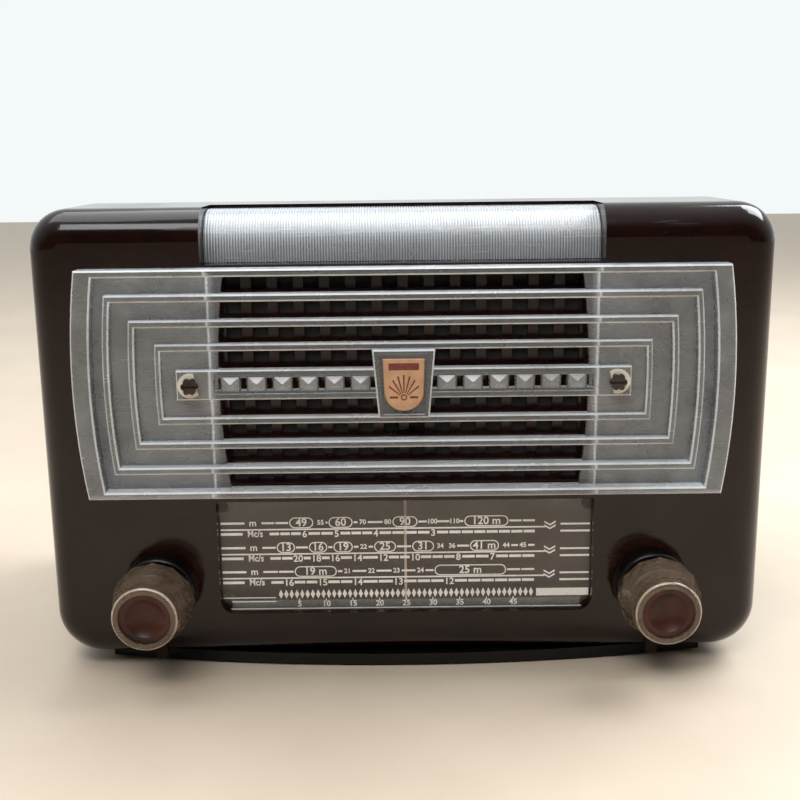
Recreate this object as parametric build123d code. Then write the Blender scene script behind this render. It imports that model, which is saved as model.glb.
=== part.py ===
from build123d import *
import math
import os

# A bakelite table radio with a clear ribbed grille, a printed dial and two dual controls.
# Millimetres. +Z is up, +X is to the right and the front faces -Y.
# The origin is under the middle of the whole set, on the surface it stands on.
# Depths named *_DEPTH or given to slab() count backwards from the front face of the case.

# Case
CASE_WIDTH = 278.0
CASE_HEIGHT = 180.5
CASE_DEPTH = 140.0
CASE_WALL = 3.5
CASE_FOOT = 5.2
TOP_CORNER = 14.5
BOTTOM_CORNER = 18.0
FACE_ROUNDING = 12.0
CROWN_DEPTH = 55.0
REAR_DROP = 5.0
KNOB_REACH = 28.0
FACE = (KNOB_REACH - CASE_DEPTH) / 2

# Recessed centre strip: window above, lattice in the middle, dial below
STRIP_HALF = 72.5
WINDOW_HALF = 74.3
STRIP_WALL = 3.0
WINDOW_LOW = 160.0
WINDOW_TOP = 179.2
WINDOW_DEPTH = 9.0
WINDOW_ROUNDING = 14.0
WINDOW_BACK = 30.0
PANEL = 2.5
LATTICE_FLOOR = 6.0
LATTICE_PITCH = 9.75
LATTICE_HOLE = 5.9
DIAL_LOW = 23.7
DIAL_HIGH = 70.0

# Clear grille moulding
GRILLE_Z = 116.2
GRILLE_PLATE = 2.0
GRILLE_HALF = 122.0
GRILLE_RISE = 43.0
GRILLE_SIDE_ARC = 281.0
SLOT_HALF = 68.9
RIB = 2.7
FRAMES = [(122.0, 43.0, 8.0, 6.8), (110.8, 33.8, 6.5, 2.4), (101.6, 24.3, 5.5, 2.4), (92.2, 15.2, 4.0, 2.2)]
BAR_HALF = 84.2
BAR_RISE = 5.6
BAR_REACH = 5.0
SCREW_X = 79.0

# Controls
CONTROL_X = 96.0
CONTROL_Z = 33.6
SHAFT = 3.0
SLEEVE = 4.5
RUNNING = 0.05
KNOB_REAR = 10.0
KNOB_REAR_R = 15.4
KNOB_NECK_R = 12.9
KNOB_RING_R = 12.3
DISH_R = 9.8
BRACKET_DEPTH = 10.0
STEEL = 1.2

# Tuning drive
DRUM_X = 78.0
DRUM_Z = 72.0
DRUM_R = 30.24
SPINDLE_R = 3.024
PULLEY_R = 4.0
CORD_DEPTH = 22.0
CORD_R = 0.4
CORD_LOW = 13.0
CORD_HIGH = 21.0
PULLEY_LEFT = -62.0
PULLEY_RIGHT = 66.0
POINTER_DEPTH = 9.0
RAIL_DEPTH = 17.0
RAIL_Z = 17.0
RAIL_R = 1.2
BACKPLATE_DEPTH = 13.0

# Chassis and what stands on it
DECK = 51.5
CHASSIS_HALF = 118.0
CHASSIS_FRONT = 34.0
CHASSIS_BACK = 128.0
CHASSIS_LOW = 15.0
SPEAKER_Z = 112.0
SPEAKER_R = 43.5
COVER_DEPTH = 135.5
COVER = 2.5

os.makedirs("parts", exist_ok=True)
made = {}


def front_plane(depth):
    """The upright plane at a depth behind the front face, seen from the front."""
    return Plane(origin=(0, FACE + depth, 0), x_dir=(1, 0, 0), z_dir=(0, -1, 0))


def slab(outline, front, back):
    """A solid with this front outline between two depths."""
    return extrude(front_plane(back) * outline, back - front, dir=(0, -1, 0))


def rod(x, z, radius, front, back):
    return slab(Pos(x, z) * Circle(radius), front, back)


def tube(x, z, outer, inner, front, back):
    return slab(Pos(x, z) * (Circle(outer) - Circle(inner)), front, back)


def box(x0, x1, front, back, z0, z1):
    return slab(Pos((x0 + x1) / 2, (z0 + z1) / 2) * Rectangle(x1 - x0, z1 - z0), front, back)


def post(x, depth, radius, z0, z1):
    """An upright round bar."""
    return Pos(x, FACE + depth, z0) * extrude(Circle(radius), z1 - z0)


def front_edges(solid):
    return solid.faces().sort_by(Axis.Y)[0].edges()


def save(name, *solids):
    """Keeps the separate solids of one sub-part and writes them to its own file."""
    pieces = []
    for item in solids:
        pieces.extend(item.solids())
    made[name] = pieces
    export_step(Compound(children=[Solid(piece.wrapped) for piece in pieces]), f"parts/{name}.step")


# ---------------------------------------------------------------- case

def case_outline(inset, drop=0.0):
    low = CASE_FOOT + inset
    high = CASE_HEIGHT - drop - inset
    face = Pos(0, (low + high) / 2) * Rectangle(CASE_WIDTH - 2 * inset, high - low)
    face = fillet(face.vertices().sort_by(Axis.Y)[-2:], TOP_CORNER - inset)
    return fillet(face.vertices().sort_by(Axis.Y)[:2], BOTTOM_CORNER - inset)


def case_body(inset):
    front = slab(case_outline(inset), inset, CROWN_DEPTH)
    front = fillet(front_edges(front), FACE_ROUNDING - inset)
    crown = front_plane(CROWN_DEPTH) * case_outline(inset)
    rear = front_plane(CASE_DEPTH) * case_outline(inset, REAR_DROP)
    return front + loft([crown, rear], ruled=True)


def window_side(inset, low, back, half):
    """All that lies outside the rolled-back window surface, moved inwards by inset."""
    face_y = FACE + WINDOW_DEPTH + inset
    centre_y = FACE + WINDOW_DEPTH + WINDOW_ROUNDING
    centre_z = WINDOW_TOP - WINDOW_ROUNDING
    radius = WINDOW_ROUNDING - inset
    top = WINDOW_TOP - inset
    skew = radius * math.sqrt(0.5)
    above = CASE_HEIGHT + 5
    path = Polyline((FACE - 5, low), (face_y, low), (face_y, centre_z))
    path += ThreePointArc((face_y, centre_z), (centre_y - skew, centre_z + skew), (centre_y, top))
    path += Polyline((centre_y, top), (FACE + back, top), (FACE + back, above))
    path += Polyline((FACE + back, above), (FACE - 5, above), (FACE - 5, low))
    return Pos(-half, 0, 0) * extrude(Plane.YZ * make_face(path), 2 * half)


def dial_opening():
    top = DIAL_HIGH - 0.6
    outline = Pos(0, (DIAL_LOW + top) / 2) * Rectangle(2 * STRIP_HALF, top - DIAL_LOW)
    return fillet(outline.vertices().sort_by(Axis.Y)[:2], 5.8)


def lattice_rows():
    return [GRILLE_Z + side * step * 9.3 for side in (-1, 1) for step in (1, 2, 3, 4)]


def lattice_holes():
    columns = [(i - 6.5) * LATTICE_PITCH for i in range(14)]
    square = Rectangle(LATTICE_HOLE, LATTICE_HOLE)
    return Sketch() + [Pos(x, z) * square for x in columns for z in lattice_rows()]


BOLT_PLACES = [(x, depth) for x in (-92.0, 92.0) for depth in (48.0, 104.0)]
BOLT_SEAT = CASE_FOOT
COVER_PLACES = [(x, z) for x in (-122.0, 122.0) for z in (62.0, 150.0)]


def case_shell():
    outer = case_body(0)
    shell = outer - case_body(CASE_WALL)
    backing = window_side(PANEL + STRIP_WALL, WINDOW_LOW - 3, WINDOW_BACK + 3, WINDOW_HALF + STRIP_WALL)
    side = STRIP_HALF + STRIP_WALL
    floor = LATTICE_FLOOR + STRIP_WALL
    shell += (backing + box(-side, side, 0, floor, DIAL_HIGH, WINDOW_LOW)) & outer
    shell -= window_side(PANEL, WINDOW_LOW, WINDOW_BACK, WINDOW_HALF)
    shell -= box(-STRIP_HALF, STRIP_HALF, -1, LATTICE_FLOOR, DIAL_HIGH + 3, WINDOW_LOW - 2.5)
    shell -= slab(lattice_holes(), LATTICE_FLOOR - 1, floor + 1)
    shell -= slab(dial_opening(), -1, CASE_WALL + 1)
    for side_sign in (-1, 1):
        shell -= rod(side_sign * CONTROL_X, CONTROL_Z, 7.5, -1, CASE_WALL + 1)
        shell += rod(side_sign * SCREW_X, GRILLE_Z, 4.0, CASE_WALL - 0.5, 12)
        shell -= rod(side_sign * SCREW_X, GRILLE_Z, 1.6, -1, 13)
    for x, z in COVER_PLACES:
        wall = math.copysign(136, x)
        lug = box(min(x, wall) - 5, max(x, wall) + 5, 123, COVER_DEPTH, z - 6, z + 6)
        shell += lug & outer
        shell -= rod(x, z, 1.4, 125, COVER_DEPTH + 1)
    for x, depth in BOLT_PLACES:
        shell += post(x, depth, 6, CASE_FOOT + 1, CHASSIS_LOW)
        shell -= post(x, depth, 2.3, 0, CHASSIS_LOW + 1)
    for i in range(8):
        x = (i - 3.5) * 14
        shell -= box(x - 2, x + 2, 55, 105, 0, 14)
    return shell


def plinth_outline(inset):
    half = 119.0 - inset
    front = FACE + 2 + inset
    rear = FACE + CASE_DEPTH - 8 - inset
    path = ThreePointArc((-half, front + 12), (0, front), (half, front + 12))
    path += Polyline((half, front + 12), (half, rear), (-half, rear), (-half, front + 12))
    return make_face(path)


FOOT_PLACES = [(x, depth) for x in (-105.0, 105.0) for depth in (28.0, 120.0)]


def plinth():
    ring = Pos(0, 0, 0.8) * extrude(plinth_outline(0) - plinth_outline(18), CASE_FOOT - 0.8)
    for x, depth in FOOT_PLACES:
        ring -= post(x, depth, 5.5, 0, 2.4)
    return ring


def chassis_bolt(x, depth):
    head = post(x, depth, 3.8, BOLT_SEAT - 3.2, BOLT_SEAT)
    return head + post(x, depth, 2.0, BOLT_SEAT - 1, CHASSIS_LOW + 5)


# ---------------------------------------------------------------- clear front

def window_panel():
    """The curved clear window that rolls back over the top edge of the case."""
    clear = 0.2
    outside = window_side(PANEL, WINDOW_LOW + clear, WINDOW_BACK - clear, WINDOW_HALF - clear)
    panel = outside - window_side(0, WINDOW_LOW - 5, WINDOW_BACK + 5, WINDOW_HALF + 5)
    return panel


def arc_panel(half, rise):
    """A plate outline with straight top and bottom and bowed sides."""
    edge = half - GRILLE_SIDE_ARC + math.sqrt(GRILLE_SIDE_ARC**2 - rise**2)
    path = Polyline((-edge, -rise), (edge, -rise))
    path += ThreePointArc((edge, -rise), (half, 0), (edge, rise))
    path += Polyline((edge, rise), (-edge, rise))
    path += ThreePointArc((-edge, rise), (-half, 0), (-edge, -rise))
    return Pos(0, GRILLE_Z) * make_face(path)


def grille_frame(half, rise, reach, bar):
    ring = slab(arc_panel(half, rise) - arc_panel(half - bar, rise - RIB), -reach, 0)
    return chamfer(front_edges(ring), 0.6)


def pyramid(x):
    """A low four-sided stud that points forwards."""
    stud = Wedge(6.4, 1.5, 5.4, 3.0, 2.5, 3.4, 2.9, align=Align.CENTER)
    return Pos(x, FACE - BAR_REACH + 0.7, GRILLE_Z) * Rot(0, 0, 180) * stud


BAR_HOLES = [side * (i * 9.65 + 11.2) for side in (-1, 1) for i in range(7)]
BAR_STUDS = [side * (i * 9.65 + 16.0) for side in (-1, 1) for i in range(6)]


def badge_shield(scale):
    top = 8.0 * scale
    low = -4 * scale
    wide = 7.8 * scale
    narrow = 7.4 * scale
    points = [(-narrow, low), (-wide, top), (wide, top), (narrow, low)]
    path = Polyline(*points) + ThreePointArc(points[-1], (0, -11.5 * scale), points[0])
    return Pos(0, GRILLE_Z + 1.4) * make_face(path)


def badge_frame():
    outline = Polygon((-9.4, -12.6), (9.4, -12.6), (11.6, 13.0), (-11.6, 13.0), align=None)
    inner = Polygon((-7.6, -11.4), (7.6, -11.4), (9.2, 11.4), (-9.2, 11.4), align=None)
    frame = chamfer(front_edges(slab(Pos(0, GRILLE_Z) * outline, -7.5, 0)), 0.6)
    return frame - slab(Pos(0, GRILLE_Z) * inner, -8, -5.5)


def grille():
    outline = arc_panel(GRILLE_HALF - 1, GRILLE_RISE - 1) - arc_panel(SLOT_HALF, GRILLE_RISE - RIB)
    plate = slab(outline, -GRILLE_PLATE, 0)
    for half, rise, reach, bar in FRAMES:
        plate += grille_frame(half, rise, reach, bar)
    centre = slab(Pos(0, GRILLE_Z) * Rectangle(2 * BAR_HALF, 2 * BAR_RISE), -BAR_REACH, 0)
    centre = chamfer(front_edges(centre), 0.5)
    centre -= slab(Pos(0, GRILLE_Z) * Rectangle(2 * SLOT_HALF + 2, 7.0), -BAR_REACH - 1, -BAR_REACH + 1.4)
    for x in BAR_STUDS:
        centre += pyramid(x)
    for x in BAR_HOLES:
        centre -= slab(Pos(x, GRILLE_Z) * Rectangle(2.4, 4.9), -BAR_REACH - 2, 1)
    plate += centre
    plate += badge_frame()
    for side in (-1, 1):
        for z in (-37.2, -27.7, -18.5, 18.5, 27.7, 37.2):
            x = side * 71.6
            height = GRILLE_Z + z
            plate += box(x - 0.4, x + 0.4, -GRILLE_PLATE - 0.6, 0, height - 4, height + 4)
        plate -= rod(side * SCREW_X, GRILLE_Z, 2.0, -9, 1)
    return plate


def badge():
    plate = slab(badge_shield(1.0), -6.7, -5.5)
    return chamfer(front_edges(plate), 0.3)


def grille_screw(x):
    head = Circle(2.6)
    for turn in range(6):
        head += Rot(0, 0, 60 * turn) * Pos(2.2, 0) * Circle(1.0)
    head = slab(Pos(x, GRILLE_Z) * head, -BAR_REACH - 2.9, -BAR_REACH - 0.8)
    slot = box(x - 4, x + 4, -BAR_REACH - 3, -BAR_REACH - 2.2, GRILLE_Z - 0.4, GRILLE_Z + 0.4)
    return head - slot + rod(x, GRILLE_Z, 1.5, -BAR_REACH - 0.9, 9)


def screw_washer(x):
    """A pale plastic washer, broken off along its outer side."""
    outline = Circle(4.6) - Circle(2.1)
    away = math.copysign(5.0, x)
    outline -= Pos(-away, 0) * Rotation(0, 0, 12) * Rectangle(5.4, 10)
    outline &= Rectangle(12, 9.4)
    return slab(Pos(x, GRILLE_Z) * outline, -BAR_REACH - 0.8, -BAR_REACH)


def dial_glass():
    outline = Pos(0, (22.0 + DIAL_HIGH) / 2) * Rectangle(151.0, DIAL_HIGH - 22.0)
    outline = fillet(outline.vertices().sort_by(Axis.Y)[:2], 3)
    return slab(outline, CASE_WALL, CASE_WALL + PANEL)


def dial_backplate():
    plate = Pos(0, 44.5) * Rectangle(148.0, 47.0)
    plate += [Pos(side * 64, 19) * Rectangle(20, 17) for side in (-1, 1)]
    return slab(plate, BACKPLATE_DEPTH, BACKPLATE_DEPTH + STEEL)


def dial_standoff(x, z):
    return rod(x, z, 2.5, CASE_WALL + PANEL, BACKPLATE_DEPTH)


def dial_lamp(x):
    glass = Circle(4.6)
    bulb = slab(Pos(x, 50) * glass, BACKPLATE_DEPTH + STEEL + 0.6, 20)
    return fillet(front_edges(bulb), 3.0) + rod(x, 50, 4.0, 20, 24)


def lamp_holder(x):
    holder = tube(x, 50, 5.6, 4.05, 20.1, 29) + rod(x, 50, 5.6, 24, 29)
    holder += box(x - 3, x + 3, BACKPLATE_DEPTH + STEEL, 21.3, 56, 57)
    return holder + box(x - 3, x + 3, 20.1, 21.3, 54.5, 57)


# ---------------------------------------------------------------- controls

def knob_body(x):
    """A clear flared twelve-sided knob with a round front ring and a hollow face."""
    rear = front_plane(-KNOB_REAR) * Pos(x, CONTROL_Z) * RegularPolygon(KNOB_REAR_R, 12)
    belt = front_plane(-KNOB_REAR - 4) * Pos(x, CONTROL_Z) * RegularPolygon(KNOB_REAR_R, 12, rotation=8)
    neck = front_plane(-KNOB_REAR - 13.5) * Pos(x, CONTROL_Z) * RegularPolygon(KNOB_NECK_R, 12, rotation=8)
    body = loft([rear, belt], ruled=True) + loft([belt, neck], ruled=True)
    ring = rod(x, CONTROL_Z, KNOB_RING_R, -KNOB_REACH, -KNOB_REAR - 13)
    body += fillet(front_edges(ring), 1.4)
    body -= rod(x, CONTROL_Z, DISH_R, -KNOB_REACH - 1, -KNOB_REAR - 4)
    return body - rod(x, CONTROL_Z, SHAFT, -KNOB_REACH, 0)


def knob_dish(x):
    cup = rod(x, CONTROL_Z, DISH_R, -KNOB_REACH + 1.2, -KNOB_REAR - 4)
    hollow = front_plane(-KNOB_REACH - 8.2) * Pos(x, CONTROL_Z) * Sphere(12.0)
    return cup - hollow - rod(x, CONTROL_Z, SHAFT, -KNOB_REAR - 7, 0)


def control_shaft(x, end):
    return rod(x, CONTROL_Z, SHAFT, -KNOB_REAR - 7, end)


def tuning_shaft():
    """The right-hand shaft, necked down to a spindle where the cord wraps it."""
    shaft = control_shaft(CONTROL_X, CHASSIS_FRONT + 2.5)
    return shaft - tube(CONTROL_X, CONTROL_Z, 4, SPINDLE_R - 0.8, CORD_DEPTH - 2, CORD_DEPTH + 2)


def lever_ring(x, lean):
    """The rear ring of a dual control with the small paddle that hangs below the knob."""
    ring = Circle(13.4)
    arm = Rot(0, 0, lean) * Pos(0, -17.5) * Rectangle(4.6, 13.0)
    outline = Pos(x, CONTROL_Z) * (ring + fillet(arm.vertices().sort_by(Axis.Y)[:2], 1.5))
    lever = slab(outline, -8.8, -6.0)
    return lever - rod(x, CONTROL_Z, SLEEVE, -9, 0)


def sleeve(x, end):
    return tube(x, CONTROL_Z, SLEEVE, SHAFT + RUNNING, -8.8, end)


def collar(x):
    ring = slab(Pos(x, CONTROL_Z) * (Circle(14.65) - Circle(5.2)), -4.6, 0)
    outer = front_edges(ring).sort_by(Edge.length)[-1]
    ring = fillet(outer, 1.5)
    return ring - tube(x, CONTROL_Z, 12.2, 8.0, -5, -3.2)


def control_bracket(x):
    front = box(x - 19, x + 19, BRACKET_DEPTH, BRACKET_DEPTH + STEEL, CONTROL_Z - 17, CONTROL_Z + 17)
    low = CONTROL_Z + 3
    sides = (x - 18.4, x + 18.4)
    legs = [box(e - 0.6, e + 0.6, BRACKET_DEPTH, CHASSIS_FRONT, low, low + 14) for e in sides]
    if x > 0:
        legs = [box(x + 17.8, x + 19, BRACKET_DEPTH, CHASSIS_FRONT, CONTROL_Z - 17, CONTROL_Z + 3)]
    if x < 0:
        legs = legs[:1]
    bracket = front + legs[0]
    bush = tube(x, CONTROL_Z, 7.0, SLEEVE + RUNNING, BRACKET_DEPTH - 3, BRACKET_DEPTH + 4)
    return bracket - rod(x, CONTROL_Z, 6.9, BRACKET_DEPTH - 1, BRACKET_DEPTH + 2) + bush


def pot_can():
    """The volume and tone control housing behind the left-hand bracket."""
    x = -CONTROL_X
    can = rod(x, CONTROL_Z, 12, 14.5, CHASSIS_FRONT - 0.5) - rod(x, CONTROL_Z, 9.5, 16, CHASSIS_FRONT - 2)
    can -= rod(x, CONTROL_Z, SLEEVE + 0.5, 14, 17)
    lugs = [box(x + dx - 0.8, x + dx + 0.8, 20, 21, CONTROL_Z + 11, CONTROL_Z + 17) for dx in (-6, 0, 6)]
    return can + lugs


def wiper(end):
    """The contact arm on the end of the volume shaft."""
    x = -CONTROL_X
    disc = rod(x, CONTROL_Z, 5.0, end - 3, end)
    return disc + box(x - 1.5, x + 1.5, end - 2, end - 1, CONTROL_Z, CONTROL_Z + 8.5)


def switch_wafer():
    x = CONTROL_X
    wafer = tube(x, CONTROL_Z, 15.5, 8.6, 15.2, 16.8)
    for turn in range(12):
        place = math.radians(30 * turn)
        wafer += rod(x + 13 * math.cos(place), CONTROL_Z + 13 * math.sin(place), 0.9, 14.4, 17.6)
    posts = [rod(x + s * 14.2, CONTROL_Z + 4.2, 1.2, BRACKET_DEPTH + STEEL, 15.3) for s in (-1, 1)]
    return wafer + posts


def switch_rotor():
    x = CONTROL_X
    rotor = Circle(6.4) + [Rot(0, 0, 120 * i) * Pos(5.6, 0) * Circle(2.4) for i in range(3)]
    return slab(Pos(x, CONTROL_Z) * (rotor - Circle(SLEEVE)), 15.2, 16.8)


# ---------------------------------------------------------------- tuning drive

def tangent(start, end):
    """The tangent points of a cord that leaves one pulley for the next.

    A pulley is (x, z, radius, turn), where turn is 1 anticlockwise and -1 clockwise.
    """
    dx = end[0] - start[0]
    dz = end[1] - start[1]
    gap = math.hypot(dx, dz)
    along = math.atan2(dz, dx)
    spread = start[2] * start[3] - end[2] * end[3]
    normal = along - math.acos(spread / gap)
    side_x = math.cos(normal)
    side_z = math.sin(normal)
    leave = (start[0] + start[2] * start[3] * side_x, start[1] + start[2] * start[3] * side_z)
    meet = (end[0] + end[2] * end[3] * side_x, end[1] + end[2] * end[3] * side_z)
    return leave, meet


IDLERS = [(DRUM_X - DRUM_R - PULLEY_R, CORD_HIGH + PULLEY_R), (PULLEY_LEFT, 17.0), (PULLEY_RIGHT, 17.0)]
CORD_LOOP = [
    (DRUM_X, DRUM_Z, DRUM_R, 1),
    (IDLERS[0][0], IDLERS[0][1], PULLEY_R, -1),
    (IDLERS[1][0], IDLERS[1][1], PULLEY_R, 1),
    (IDLERS[2][0], IDLERS[2][1], PULLEY_R, 1),
    (CONTROL_X, CONTROL_Z, SPINDLE_R, 1),
]


def drive_cord():
    """The cord as a flat-sided loop, one cord thick, in one upright plane."""
    spans = [tangent(CORD_LOOP[i], CORD_LOOP[(i + 1) % 5]) for i in range(5)]
    path = Curve()
    for i, (x, z, radius, turn) in enumerate(CORD_LOOP):
        arrive = spans[i - 1][1]
        leave = spans[i][0]
        start = math.atan2(arrive[1] - z, arrive[0] - x)
        sweep_angle = (math.atan2(leave[1] - z, leave[0] - x) - start) * turn % (2 * math.pi)
        half_way = start + turn * sweep_angle / 2
        middle = (x + radius * math.cos(half_way), z + radius * math.sin(half_way))
        path += ThreePointArc(arrive, middle, leave)
        path += Line(spans[i][0], spans[i][1])
    loop = make_face(path)
    cord = offset(loop, CORD_R) - offset(loop, -CORD_R)
    return slab(cord, CORD_DEPTH - CORD_R, CORD_DEPTH + CORD_R)


def grooved_wheel(x, z, groove, flange, half_width, bore):
    wheel = tube(x, z, groove, bore, CORD_DEPTH - half_width, CORD_DEPTH + half_width)
    for side in (-1, 1):
        face = CORD_DEPTH + side * half_width
        wheel += tube(x, z, flange, bore, min(face, face - side * 0.8), max(face, face - side * 0.8))
    return wheel


def drive_drum():
    drum = grooved_wheel(DRUM_X, DRUM_Z, DRUM_R - 0.8, DRUM_R + 1.3, 2.2, 3.0)
    for turn in range(5):
        place = math.radians(72 * turn + 36)
        x = DRUM_X + 17 * math.cos(place)
        z = DRUM_Z + 17 * math.sin(place)
        drum -= rod(x, z, 6.5, CORD_DEPTH - 3, CORD_DEPTH + 3)
    return drum + tube(DRUM_X, DRUM_Z, 6.0, 3.0, CORD_DEPTH - 2, CORD_DEPTH + 5)


def idler(x, z):
    return grooved_wheel(x, z, PULLEY_R - 0.8, PULLEY_R + 0.8, 1.6, 1.5 + RUNNING)


def pulley_stud(x, z):
    shank = rod(x, z, 1.5, BACKPLATE_DEPTH + STEEL, CORD_DEPTH + 2.2)
    shoulder = rod(x, z, 2.6, BACKPLATE_DEPTH + STEEL, CORD_DEPTH - 1.9)
    return shank + shoulder + rod(x, z, 2.6, CORD_DEPTH + 2.0, CORD_DEPTH + 2.9)


def pointer_rail():
    rail = Pos(0, FACE + RAIL_DEPTH, RAIL_Z) * Rot(0, 90, 0) * Cylinder(RAIL_R, 112)
    for side in (-1, 1):
        x = side * 55.5
        front = BACKPLATE_DEPTH + STEEL
        rail += box(x - 1.5, x + 1.5, front, RAIL_DEPTH + 2, RAIL_Z - 2, RAIL_Z + 2)
    return rail


def pointer_carriage():
    block = box(-4, 4, RAIL_DEPTH - 2.2, RAIL_DEPTH + 2.2, RAIL_Z - 2.2, RAIL_Z + 2.2)
    block += box(-4, 4, POINTER_DEPTH - 0.4, RAIL_DEPTH, RAIL_Z - 2.2, RAIL_Z - 1.0)
    block += box(-3, 3, RAIL_DEPTH, CORD_DEPTH + 1.5, RAIL_Z - 2.2, RAIL_Z - 1.0)
    for side in (-1, 1):
        prong = CORD_DEPTH + side * (CORD_R + 0.7)
        block += box(-3, 3, prong - 0.35, prong + 0.35, CORD_LOW - 1, RAIL_Z - 2)
    bore = Pos(0, FACE + RAIL_DEPTH, RAIL_Z) * Rot(0, 90, 0) * Cylinder(RAIL_R + RUNNING, 20)
    return block - bore


def pointer_needle():
    stem = box(-1.2, 1.2, POINTER_DEPTH - 0.4, POINTER_DEPTH + 0.4, RAIL_Z - 1.0, RAIL_Z + 2.5)
    return stem + box(-0.5, 0.5, POINTER_DEPTH - 0.4, POINTER_DEPTH + 0.4, RAIL_Z + 2, DIAL_HIGH - 0.5)


# ---------------------------------------------------------------- sound

def speaker_cloth():
    return box(-71, 71, 9.0, 9.6, 75, 156)


def baffle():
    board = Pos(0, 115.5) * Rectangle(142, 81) - Pos(0, SPEAKER_Z) * Circle(36.5)
    return slab(board, 9.6, 12.6)


def funnel(front, front_radius, back, back_radius):
    mouth = front_plane(front) * Pos(0, SPEAKER_Z) * Circle(front_radius)
    throat = front_plane(back) * Pos(0, SPEAKER_Z) * Circle(back_radius)
    return loft([mouth, throat], ruled=True)


def speaker_basket():
    rim = tube(0, SPEAKER_Z, SPEAKER_R, 37.0, 12.6, 14.2)
    cone = funnel(14.2, 40, 36, 19) - funnel(14.2, 38.8, 36, 17.8)
    for turn in range(4):
        window = Pos(0, SPEAKER_Z) * Rot(0, 0, 90 * turn + 45) * Pos(30, 0) * Rectangle(20, 24)
        cone -= slab(window, 17, 32)
    return rim + cone + tube(0, SPEAKER_Z, 19, 10.5, 35.2, 38)


def speaker_cone():
    cone = funnel(14.0, 34, 31, 9) - funnel(14.0, 33.2, 31, 8.2)
    cap = front_plane(31) * Pos(0, SPEAKER_Z) * (Sphere(9) - Sphere(8.2))
    cap &= rod(0, SPEAKER_Z, 9, 20, 31)
    return cone + cap + tube(0, SPEAKER_Z, 9.0, 8.2, 30.8, 44)


def speaker_surround():
    return tube(0, SPEAKER_Z, 36.9, 34.3, 13.0, 13.8)


def speaker_magnet():
    pot = rod(0, SPEAKER_Z, 20, 38, 58) - tube(0, SPEAKER_Z, 9.6, 7.6, 37, 50)
    return fillet(pot.faces().sort_by(Axis.Y)[-1].edges(), 2)


# ---------------------------------------------------------------- chassis

def upright(x, depth, radius, low, high, rounding=0.0):
    bar = post(x, depth, radius, low, high)
    if rounding:
        bar = fillet(bar.faces().sort_by(Axis.Z)[-1].edges(), rounding)
    return bar


VALVES = [
    (98.0, 104.0, 62.0),
    (58.0, 106.0, 58.0),
    (-14.0, 106.0, 58.0),
    (-80.0, 108.0, 68.0),
    (-104.0, 74.0, 64.0),
]
IF_CANS = [(22.0, 104.0), (-48.0, 104.0)]
CAPACITOR = (-55.0, 70.0)
DROPPER = (-30.0, 66.0)


def chassis():
    deck = box(-CHASSIS_HALF, CHASSIS_HALF, CHASSIS_FRONT, CHASSIS_BACK, DECK - STEEL, DECK)
    tray = deck
    for depth in (CHASSIS_FRONT, CHASSIS_BACK - STEEL):
        tray += box(-CHASSIS_HALF, CHASSIS_HALF, depth, depth + STEEL, CHASSIS_LOW, DECK)
    for x in (-CHASSIS_HALF, CHASSIS_HALF - STEEL):
        tray += box(x, x + STEEL, CHASSIS_FRONT, CHASSIS_BACK, CHASSIS_LOW, DECK)
    for x, depth in BOLT_PLACES:
        edge = math.copysign(CHASSIS_HALF, x)
        left = min(x - 7, edge)
        right = max(x + 7, edge)
        tray += box(left, right, depth - 8, depth + 8, CHASSIS_LOW, CHASSIS_LOW + STEEL)
        tray -= post(x, depth, 2.1, CHASSIS_LOW - 1, CHASSIS_LOW + 3)
    for x, depth, height in VALVES:
        tray -= post(x, depth, 9.5, DECK - 3, DECK + 1)
    tray -= rod(CONTROL_X, CONTROL_Z, SHAFT + RUNNING, CHASSIS_FRONT - 1, CHASSIS_FRONT + 3)
    return tray


def valve_socket(x, depth):
    socket = post(x, depth, 12.0, DECK, DECK + 2.5) + post(x, depth, 9.4, DECK - 9, DECK + 1)
    return socket - post(x, depth, 3, DECK - 10, DECK + 3)


def valve(x, depth, height):
    """A glass valve: a metal skirt and a domed envelope."""
    glass = upright(x, depth, 10.6, DECK + 9.5, DECK + 2.5 + height, 7.0)
    nipple = upright(x, depth, 1.8, DECK + 2 + height, DECK + 6 + height, 1.5)
    return glass + nipple


def valve_base(x, depth):
    return post(x, depth, 11.0, DECK + 2.5, DECK + 9.5)



def if_can(x, depth):
    can = box(x - 12.5, x + 12.5, depth - 12.5, depth + 12.5, DECK, DECK + 55)
    can = fillet(can.edges().filter_by(Axis.Z), 3)
    can = fillet(can.faces().sort_by(Axis.Z)[-1].edges(), 1.5)
    return can - post(x, depth, 3, DECK + 50, DECK + 56)


def capacitor():
    x, depth = CAPACITOR
    can = upright(x, depth, 15.0, DECK, DECK + 62, 2.0)
    return can - post(x, depth, 1.5, DECK + 61, DECK + 63)



def output_transformer():
    core = box(-122 + 16, -122 + 52, 42, 58, DECK, DECK + 30)
    core -= box(-122 + 22, -122 + 28, 41, 59, DECK + 6, DECK + 24)
    return core - box(-122 + 40, -122 + 46, 41, 59, DECK + 6, DECK + 24)


def transformer_winding():
    outer = box(-122 + 22.2, -122 + 45.8, 38.5, 61.5, DECK + 6.2, DECK + 23.8)
    return outer - box(-122 + 28, -122 + 40, 42, 58, DECK + 6, DECK + 24)


def dropper_resistor():
    x, depth = DROPPER
    core = post(x, depth, 7.0, DECK + 6, DECK + 58) - post(x, depth, 4.0, DECK + 5, DECK + 59)
    for step in range(4):
        z = DECK + 12 + step * 13
        core += post(x, depth, 7.6, z, z + 2) - post(x, depth, 6.5, z, z + 2)
    return core


def dropper_stand():
    x, depth = DROPPER
    stand = post(x, depth, 1.8, DECK + 1, DECK + 62)
    return stand + post(x, depth, 6.0, DECK, DECK + 6) + post(x, depth, 5.0, DECK + 58, DECK + 60)


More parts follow.
